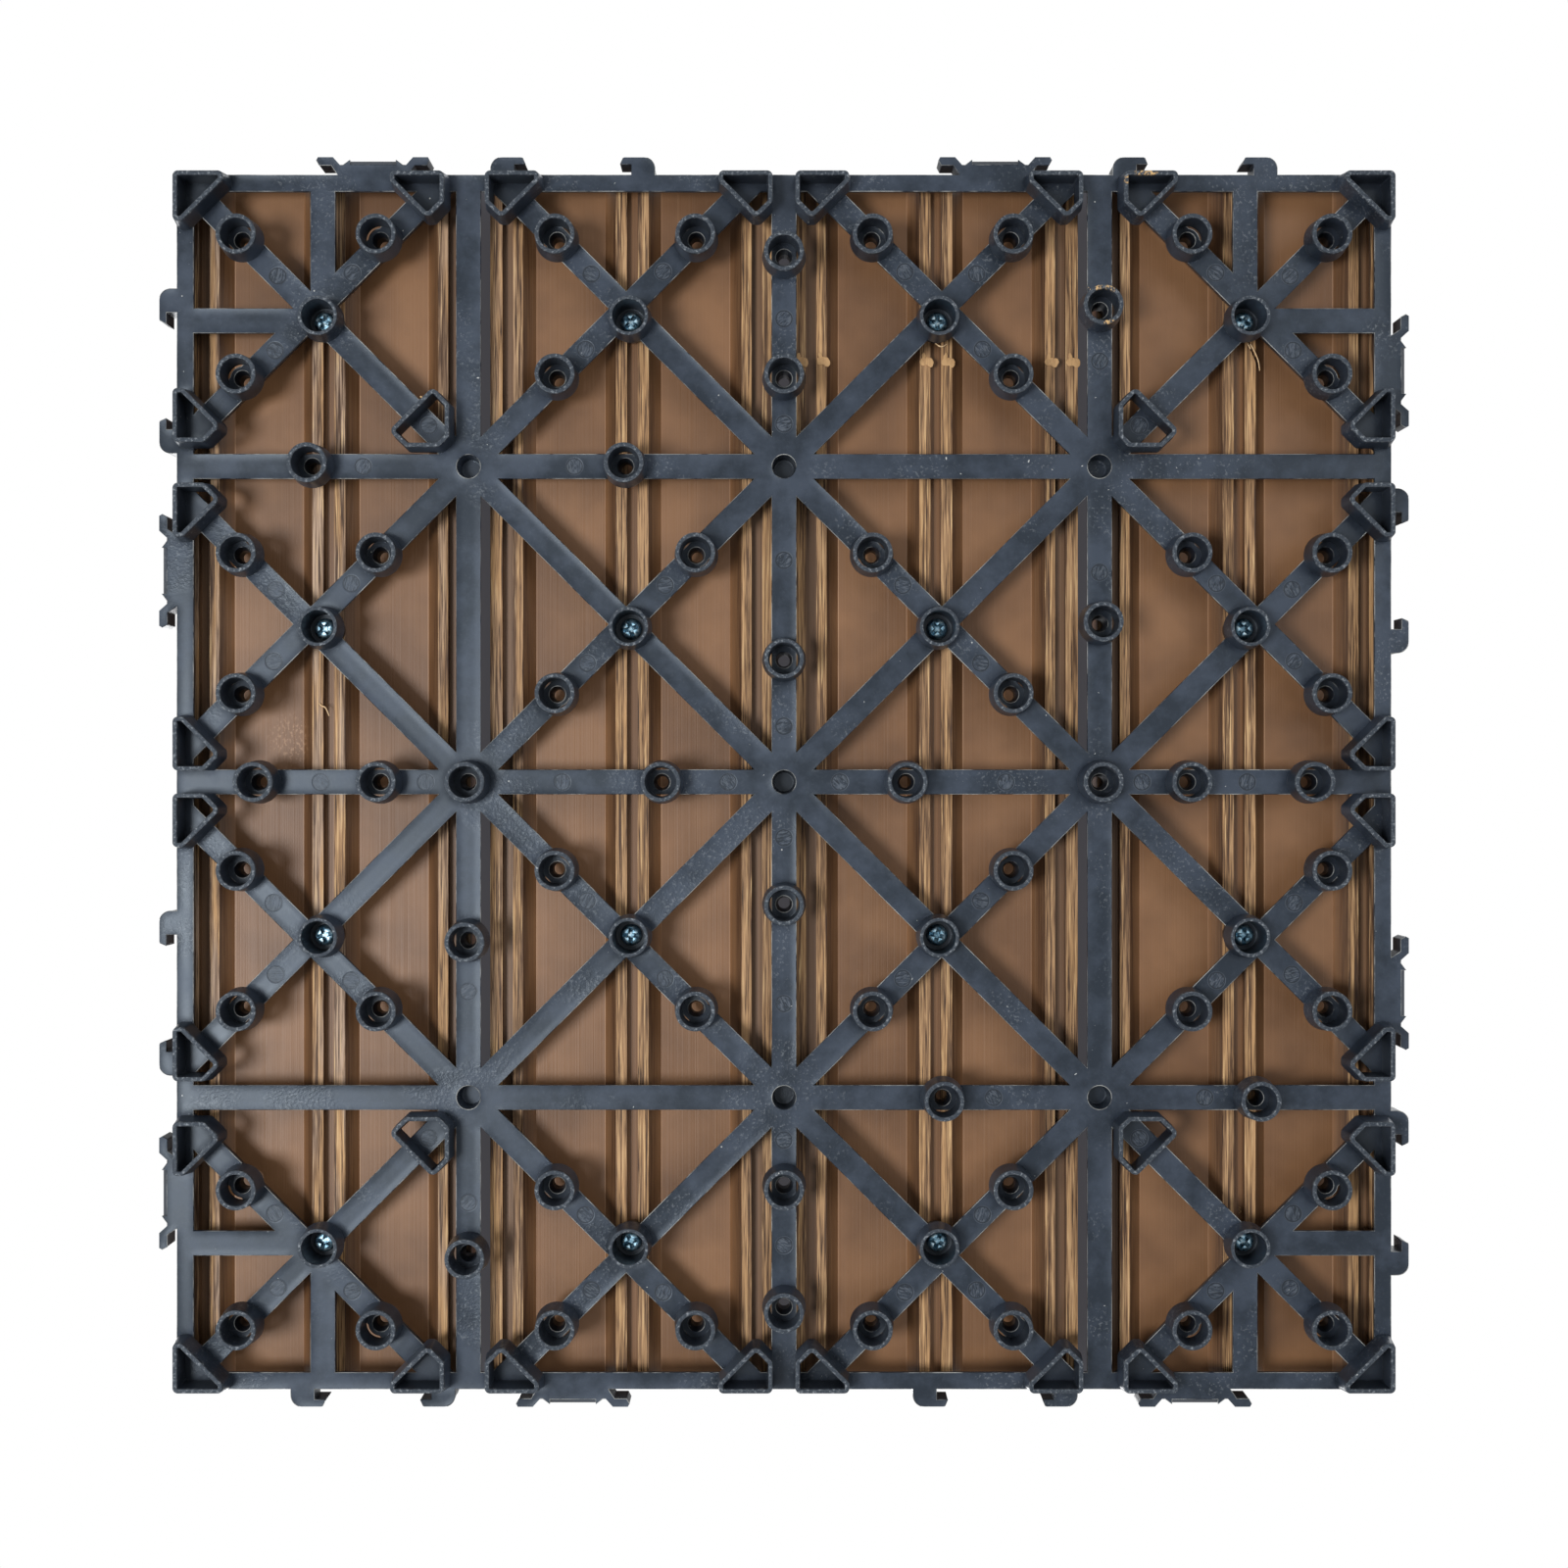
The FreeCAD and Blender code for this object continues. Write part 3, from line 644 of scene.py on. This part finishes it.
def make_zinc():
    material, tree, shader, place = start_material("blue zinc")
    blotches = noise(tree, place, 1100.0, 3.0, 0.6)
    colour = mixed(tree, remap(tree, blotches, 0.35, 0.5), linear(zinc_dark), linear(zinc_blue))
    colour = mixed(tree, remap(tree, blotches, 0.5, 0.66), colour, linear(zinc_white))
    # painted shade in the cross recess, where little light gets in
    recess_shade = remap(tree, open_share(tree, recess_reach), 0.75, 0.5, 0.0, 0.6)
    colour = mixed(tree, recess_shade, colour, linear(shade_and_gouge_dark))
    paint(tree, shader, colour, remap(tree, blotches, 0.3, 0.7, 0.34, 0.5))
    dents = add(tree, "TexVoronoi", {"Vector": place, "Scale": 1400.0}, feature="SMOOTH_F1")
    emboss(tree, shader, dents.outputs["Distance"], 0.3, 0.0002)
    shader.inputs["Metallic"].default_value = 1.0
    return material


zinc = make_zinc()
for row, column in product(range(1, 5), repeat=2):
    give_material(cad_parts["screw_%d_%d" % (row, column)], zinc)


# Burrs on slat_2
# A blow across the ridges tore the composite there and smeared it into pale lips that hang over the ridges'
# edges towards the tile's right, seen from below.

burr_pale = (202, 161, 112)
burr_dark = (172, 132, 88)
burr_slat = -0.038
burr_y = 0.1052
burr_half = 0.0012
burr_corners = 18
burr_rim = 0.2 * burr_half
burr_thick = 0.00016
burr_dome = 0.3 * burr_thick
burr_step = 0.00004
burr_shake = 0.0002
burr_turn = 0.3
burr_roughness = 0.00006
burr_pitch = 3100.0
burr_slant = 1.7
ridge_middles = (-0.03405, -0.0286, -0.0027, 0.0027, 0.0286, 0.03405)
burr_flakes = (
    (0.0004, 0.0, 0.75, 0.8), (-0.0004, 0.0001, 0.8, 0.85), (-0.0013, -0.0002, 0.7, 1.0),
    (0.0003, 0.0013, 0.4, 0.8))


def make_torn_composite(name, dark, pale):
    material, tree, shader, place = start_material(name)
    fibre = use_group(tree, streaks, {"Place": place, "Across": 900.0, "Along": 160.0})
    colour = mixed(tree, remap(tree, fibre["Value"], 0.36, 0.54), linear(dark), linear(pale))
    paint(tree, shader, colour, remap(tree, fibre["Value"], 0.3, 0.7, 0.5, 0.7))
    emboss(tree, shader, fibre["Thread"], 0.4, 0.0001)
    return material


def burr_moves():
    """On each ridge four flakes, each a step lower: a patch of two, a lobe over its edge and a tongue."""
    for ridge in ridge_middles:
        x, y = burr_slat + ridge, burr_y + chance.uniform(-burr_shake, burr_shake)
        for number, (across, along, wide, tall) in enumerate(burr_flakes):
            turn = Matrix.Rotation(chance.uniform(-burr_turn, burr_turn), 4, "Z")
            move = Matrix.Translation((x + across, y + along, -number * burr_step))
            yield move @ turn @ Matrix.Diagonal((wide, tall, 1.0, 1.0))


def roughen(piece):
    """Each corner pushed a little sideways, by its place, so that no two outlines are alike."""
    for vertex in piece.data.vertices:
        angle = math.tau * math.sin(vertex.co.x * burr_pitch + vertex.co.y * burr_pitch * burr_slant)
        vertex.co.x += burr_roughness * math.cos(angle)
        vertex.co.y += burr_roughness * math.sin(angle)


flake = model_disc(burr_corners, burr_half, ridge_z, burr_thick, burr_rim, -burr_dome)
burrs = spread(flake, list(burr_moves()), "torn_burrs")
roughen(burrs)
give_material(burrs, make_torn_composite("torn composite", burr_dark, burr_pale))
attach(burrs, "root")


# Loose fibres
# Splinters that the slats' planed ridges let go: one curls over a middle groove, one was peeled up beside a
# boss, and two stand off an open split beside the first row's fourth boss. The split's dark inside is painted
# shade: a near-black thread laid along it.

fibre_radius = 0.0002
fibre_taper = 0.5
fibre_dark = (206, 166, 118)
fibre_pale = (240, 208, 164)
fibre_paths = {
    "curled_fibre": (
        (0.1163, 0.0197, 0.0118), (0.1158, 0.0190, 0.0114), (0.1149, 0.0189, 0.0113),
        (0.1142, 0.0178, 0.0114), (0.1139, 0.0166, 0.0117)),
    "boss_peel": (
        (-0.0378, 0.1099, 0.0118), (-0.0387, 0.1090, 0.0114), (-0.0398, 0.1088, 0.0114),
        (-0.0407, 0.1096, 0.0118)),
    "split_fibre": (
        (-0.1168, 0.1096, 0.0119), (-0.1175, 0.1082, 0.0115), (-0.1183, 0.1064, 0.0114),
        (-0.1189, 0.1045, 0.0115), (-0.1191, 0.1030, 0.0119)),
    "split_fibre_stub": ((-0.1160, 0.1099, 0.0119), (-0.1164, 0.1090, 0.0115), (-0.1169, 0.1083, 0.0119)),
}
split_path = (
    (-0.1163, 0.1096, 0.0119), (-0.1171, 0.1080, 0.0119), (-0.1179, 0.1062, 0.0119),
    (-0.1184, 0.1046, 0.0119), (-0.1186, 0.1036, 0.0119))
split_radius = 0.00024
split_shade_black = (12, 8, 6)


# painted shade for the inside of the split
def make_split_shade():
    material, tree, shader, place = start_material("split shade")
    depth = noise(tree, place, 1500.0, 2.0)
    colour = mixed(tree, remap(tree, depth, 0.4, 0.6), linear(split_shade_black), linear(leg_gap))
    paint(tree, shader, colour, remap(tree, depth, 0.3, 0.7, 0.7, 0.9))
    shader.inputs["Specular IOR Level"].default_value = 0.1
    return material


def model_fibre(path, name, radius):
    """A smooth thread led by its path's points, thinner towards its end."""
    bpy.ops.object.select_all(action="DESELECT")
    line = bpy.data.curves.new(name, "CURVE")
    line.dimensions = "3D"
    spline = line.splines.new("NURBS")
    spline.points.add(len(path) - 1)
    for number, (point, place) in enumerate(zip(spline.points, path)):
        point.co = (*place, 1.0)
        point.radius = 1.0 - fibre_taper * number / len(path)
    spline.order_u = 3
    spline.use_endpoint_u = True
    line.bevel_depth = radius
    line.bevel_resolution = 1
    line.use_fill_caps = True
    fibre = bpy.data.objects.new(name, line)
    bpy.context.scene.collection.objects.link(fibre)
    bpy.context.view_layer.objects.active = fibre
    fibre.select_set(True)
    bpy.ops.object.convert(target="MESH")
    return bpy.context.object


loose_fibre = make_torn_composite("loose fibre", fibre_dark, fibre_pale)
for name, path in fibre_paths.items():
    splinter = model_fibre(path, name, fibre_radius)
    give_material(splinter, loose_fibre)
    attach(splinter, "root")

split_shade = model_fibre(split_path, "split_shade", split_radius)
give_material(split_shade, make_split_shade())
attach(split_shade, "root")


# Dust and sawdust
# Pale specks lie scattered on the grid's down faces. Grains of sawdust cling beside a peg and an inner foot,
# and lie in a groove of slat_1.

speck_radius = 0.00015
speck_shape = (1.7, 0.8, 0.45)
speck_count = 320
least_speck = 0.35
speck_range = 0.9
grain_sizes = (0.7, 1.6)
dusty_half = 0.150
lowest_dusty = 0.0004
dusty_rise = 0.0001
nearly_down = -0.9
below_tile = -0.01
sawdust_pale = (222, 184, 132)
speck_places = (
    (0.0756, 0.0999, 1.6), (-0.0401, 0.0800, 1.8), (-0.0605, 0.0793, 1.7), (-0.0737, 0.0781, 1.2),
    (-0.0663, 0.0772, 0.9), (-0.0437, 0.0762, 1.0), (-0.0770, 0.0950, 1.0), (-0.0721, -0.0722, 1.5),
    (-0.0885, -0.0815, 0.9))
loose_chips = (
    (0.0886, 0.0941, 0.0014, 2.4), (0.0882, 0.0944, 0.0022, 1.8), (0.0890, 0.0938, 0.0030, 1.6),
    (0.0884, 0.0943, 0.0036, 1.3), (-0.1149, -0.1080, 0.0141, 1.6), (-0.1145, -0.1075, 0.0141, 1.2),
    (-0.1147, -0.1071, 0.0141, 1.4), (-0.1146, -0.1084, 0.0141, 1.0))
heap_x, heap_y = -0.0756, 0.1218
heap_reach = 0.0012
heap_grains = 5


def make_dust():
    material, tree, shader, place = start_material("pale dust")
    tone = noise(tree, place, 3000.0, 2.0)
    colour = mixed(tree, remap(tree, tone, 0.4, 0.6), linear(plastic_chip), linear(dust_white))
    paint(tree, shader, colour, remap(tree, tone, 0.3, 0.7, 0.5, 0.8))
    return material


def make_sawdust():
    material, tree, shader, place = start_material("sawdust")
    tone = noise(tree, place, 2500.0, 2.0)
    colour = mixed(tree, remap(tree, tone, 0.4, 0.6), linear(burr_dark), linear(sawdust_pale))
    paint(tree, shader, colour, remap(tree, tone, 0.3, 0.7, 0.6, 0.85))
    return material


def model_speck():
    """A flat sliver, about its own middle."""
    bpy.ops.object.select_all(action="DESELECT")
    bpy.ops.mesh.primitive_ico_sphere_add(subdivisions=1, radius=speck_radius, location=(0, 0, 0))
    speck = bpy.context.object
    bpy.ops.object.mode_set(mode="EDIT")
    bpy.ops.mesh.select_all(action="SELECT")
    bpy.ops.transform.resize(value=speck_shape)
    bpy.ops.object.mode_set(mode="OBJECT")
    return speck


def down_face(x, y):
    """The height of the grid's down face at a place, or None beside it and on the rims at floor level."""
    hit, place, normal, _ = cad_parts["base_grid"].ray_cast((x, y, below_tile), (0, 0, 1))
    dusty = hit and normal.z < nearly_down and lowest_dusty < place.z < face_z + dusty_rise
    return place.z if dusty else None


def lay(x, y, z, size):
    turn = Matrix.Rotation(chance.uniform(0, math.pi), 4, "Z")
    return Matrix.Translation((x, y, z)) @ turn @ Matrix.Diagonal((size, size, size, 1.0))


def speck_moves():
    """The specks that stand out, then many small ones by chance, where they meet a down face."""
    for x, y, size in speck_places:
        yield lay(x, y, face_z, size)
    for _ in range(speck_count):
        x, y = chance.uniform(-dusty_half, dusty_half), chance.uniform(-dusty_half, dusty_half)
        size = least_speck + speck_range * chance.random() ** 4
        z = down_face(x, y)
        if z is not None:
            yield lay(x, y, z, size)


def sawdust_moves():
    """The loose chips, then a small heap that thins out from its middle."""
    for x, y, z, size in loose_chips:
        yield lay(x, y, z, size)
    for _ in range(heap_grains):
        x, y = heap_x + chance.gauss(0, heap_reach / 2), heap_y + chance.gauss(0, heap_reach / 2)
        size = chance.uniform(*grain_sizes)
        z = down_face(x, y)
        if z is not None:
            yield lay(x, y, z, size)


specks = spread(model_speck(), list(speck_moves()), "dust_specks")
give_material(specks, make_dust())
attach(specks, "root")
sawdust = spread(model_speck(), list(sawdust_moves()), "sawdust_grains")
give_material(sawdust, make_sawdust())
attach(sawdust, "root")


# The studio
# A pale floor under the feet that only a camera above it sees, a grey board on top of the slats that a camera
# below sees through their gaps, a white room and soft lamps below and above. The board's grey and its glow
# are painted shade: a pale surface in shade behind the gaps.

floor_size = 3.0
floor_z = -0.0002
floor_grey = (235, 235, 235)
floor_glow = 0.25
board_half = 0.152
board_z = 0.0224
board_shade_grey = (104, 104, 110)
board_shade_glow = 0.35
fade_from = 0.4
fade_to = 1.3
room_level = 0.36
room_in_gloss = 0.75


def make_one_sided(name, colour, glow, mirrored):
    """A dull surface, in part as bright as its own colour, which fades out with distance from its middle.

    It is seen only from its front, by the camera and, as far as mirrored says, in gloss."""
    material, tree, shader, place = start_material(name)
    tree.nodes.remove(shader)
    lit = add(tree, "BsdfDiffuse", {"Color": linear(colour)}).outputs[0]
    plain = add(tree, "Emission", {"Color": linear(colour)}).outputs[0]
    dull = add(tree, "MixShader", {0: glow, 1: lit, 2: plain}).outputs[0]
    clear = add(tree, "BsdfTransparent").outputs[0]
    rays = add(tree, "LightPath").outputs
    in_gloss = calc(tree, "MULTIPLY", rays["Is Glossy Ray"], mirrored)
    seen = calc(tree, "MAXIMUM", rays["Is Camera Ray"], in_gloss)
    behind = add(tree, "NewGeometry").outputs["Backfacing"]
    shown = calc(tree, "MULTIPLY", seen, calc(tree, "SUBTRACT", 1.0, behind))
    near = remap(tree, measured(tree, "LENGTH", place), fade_to, fade_from)
    surface = add(tree, "MixShader", {0: calc(tree, "MULTIPLY", shown, near), 1: clear, 2: dull}).outputs[0]
    tree.links.new(surface, tree.nodes["Material Output"].inputs["Surface"])
    return material


bpy.ops.object.select_all(action="DESELECT")
bpy.ops.mesh.primitive_plane_add(size=floor_size, location=(0, 0, floor_z))
floor = bpy.context.object
floor.name = "floor"
give_material(floor, make_one_sided("pale floor", floor_grey, floor_glow, 0.0))
bpy.ops.mesh.primitive_plane_add(size=2 * board_half, location=(0, 0, board_z), rotation=(math.pi, 0, 0))
board = bpy.context.object
board.name = "backing_board"
give_material(board, make_one_sided("backing board", board_shade_grey, board_shade_glow, 1.0))

world = bpy.data.worlds.new("white room")
bpy.context.scene.world = world
world.use_nodes = True
sky = world.node_tree
rays = add(sky, "LightPath").outputs
in_gloss = calc(sky, "MULTIPLY", rays["Is Glossy Ray"], room_in_gloss)
seen = calc(sky, "MAXIMUM", rays["Is Camera Ray"], in_gloss)
background = sky.nodes["Background"]
background.inputs["Color"].default_value = (1, 1, 1, 1)
sky.links.new(calc(sky, "MAXIMUM", seen, room_level), background.inputs["Strength"])


def add_lamp(name, place, size, watts):
    """A round soft lamp that points at the tile."""
    lamp = bpy.data.lights.new(name, "AREA")
    lamp.shape = "DISK"
    lamp.size = size
    lamp.energy = watts
    holder = bpy.data.objects.new(name, lamp)
    bpy.context.scene.collection.objects.link(holder)
    holder.location = place
    holder.rotation_euler = (-Vector(place)).to_track_quat("-Z", "Y").to_euler()


add_lamp("left soft box", (0.57, -0.12, -1.05), 0.4, 10.0)
add_lamp("right fill", (-0.8, 0.3, -0.9), 0.8, 3.0)
add_lamp("top soft box", (0.5, -0.6, 1.1), 0.9, 12.0)
add_lamp("back fill", (-0.7, 0.6, 0.9), 0.9, 7.0)

view_settings = bpy.context.scene.view_settings
view_settings.view_transform = "Standard"

camera_data = bpy.data.cameras.new("camera")
camera_data.sensor_width = 36.0
camera_data.lens = 41.8
camera_data.clip_start = 0.01
camera = bpy.data.objects.new("camera", camera_data)
bpy.context.scene.collection.objects.link(camera)
camera.location = (0.0, -0.0005, -0.444)
camera.rotation_euler = (0, math.pi, 0)
bpy.context.scene.camera = camera
